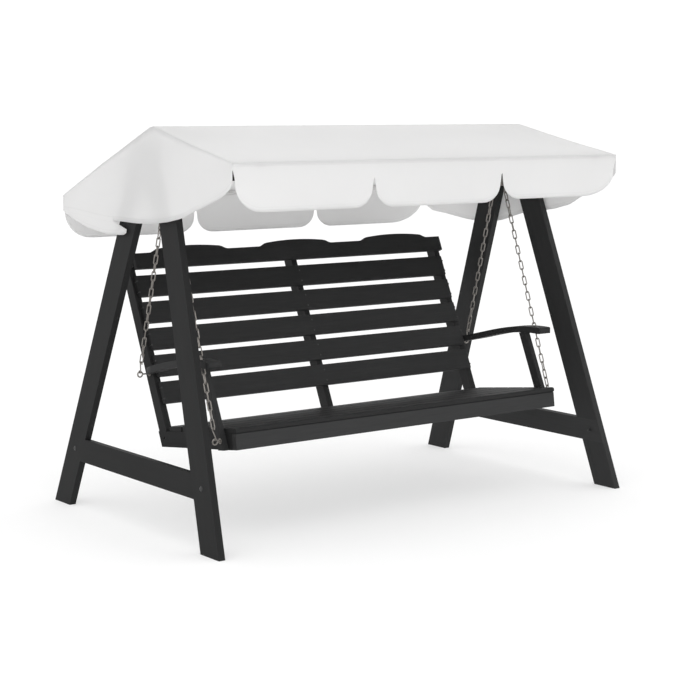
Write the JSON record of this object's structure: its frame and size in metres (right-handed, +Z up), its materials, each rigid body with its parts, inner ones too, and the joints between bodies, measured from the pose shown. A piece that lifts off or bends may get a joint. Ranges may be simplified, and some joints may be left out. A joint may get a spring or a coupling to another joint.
{
  "type": "canopy swing seat",
  "caption": "Slatted garden bench hung on chains from a beam between two wooden A-frames, under a tilting fabric canopy with a slit valance.",
  "frame": {"origin": "on the floor, below the middle of the bounding box", "axes": "+X towards the right of a person facing the front, -Y out of the front of the bench, +Z up"},
  "size_m": [2.08, 1.283, 1.578],
  "materials": {
    "timber": "opaque anthracite stain, satin, with a faint grain",
    "zinc": "zinc plated, dull",
    "black_steel": "black powder coat",
    "black_plastic": "moulded, matt",
    "white_tube": "white powder coat",
    "cloth": "woven polyester, off-white, matt"
  },
  "bodies": {
    "frame": {"left_front_leg": "timber", "left_rear_leg": "timber", "right_front_leg": "timber", "right_rear_leg": "timber", "left_stretcher": "timber", "right_stretcher": "timber", "left_head_block": "timber", "right_head_block": "timber", "top_beam": "timber", "beam_brackets": "black_steel", "frame_bolts": "black_steel", "pivot_bolts": "zinc", "left_hanger": "black_steel", "right_hanger": "black_steel"},
    "canopy": {"ridge_tube": "white_tube", "front_tube": "white_tube", "rear_tube": "white_tube", "left_front_arm": "white_tube", "left_rear_arm": "white_tube", "right_front_arm": "white_tube", "right_rear_arm": "white_tube", "roof_connectors": "black_steel", "tube_caps": "black_plastic", "pivot_plates": "black_steel", "canopy_cover": "cloth"},
    "left_knob": {"left_tilt_knob": "black_plastic"},
    "right_knob": {"right_tilt_knob": "black_plastic"},
    "swing": {"left_delta_plate": "zinc", "right_delta_plate": "zinc", "top_hooks": "zinc", "lower_hooks": "zinc", "eye_bolts": "zinc", "left_front_chain": "zinc", "left_rear_chain": "zinc", "right_front_chain": "zinc", "right_rear_chain": "zinc", "front_rail": "timber", "left_rail": "timber", "middle_rail": "timber", "right_rail": "timber", "seat_slat_1": "timber", "seat_slat_2": "timber", "seat_slat_3": "timber", "seat_slat_4": "timber", "seat_slat_5": "timber", "left_stile": "timber", "middle_stile": "timber", "right_stile": "timber", "back_slat_1": "timber", "back_slat_2": "timber", "back_slat_3": "timber", "back_slat_4": "timber", "back_slat_5": "timber", "crest_rail": "timber", "left_armrest": "timber", "right_armrest": "timber", "left_arm_post": "timber", "right_arm_post": "timber", "bench_screws": "black_steel"}
  },
  "joints": [
    {"name": "bench_swing", "type": "hinge", "parent": "frame", "child": "swing", "pos_m": [0, -0.026, 1.337], "axis": [1, 0, 0], "range_deg": [-25, 25]},
    {"name": "canopy_tilt", "type": "hinge", "parent": "frame", "child": "canopy", "pos_m": [0, -0.026, 1.48], "axis": [1, 0, 0], "range_deg": [-8, 8]},
    {"name": "left_knob_turn", "type": "hinge", "parent": "frame", "child": "left_knob", "pos_m": [-0.86, -0.026, 1.48], "axis": [1, 0, 0], "range_deg": [-180, 180]},
    {"name": "right_knob_turn", "type": "hinge", "parent": "frame", "child": "right_knob", "pos_m": [0.86, -0.026, 1.48], "axis": [1, 0, 0], "range_deg": [-180, 180]}
  ]
}
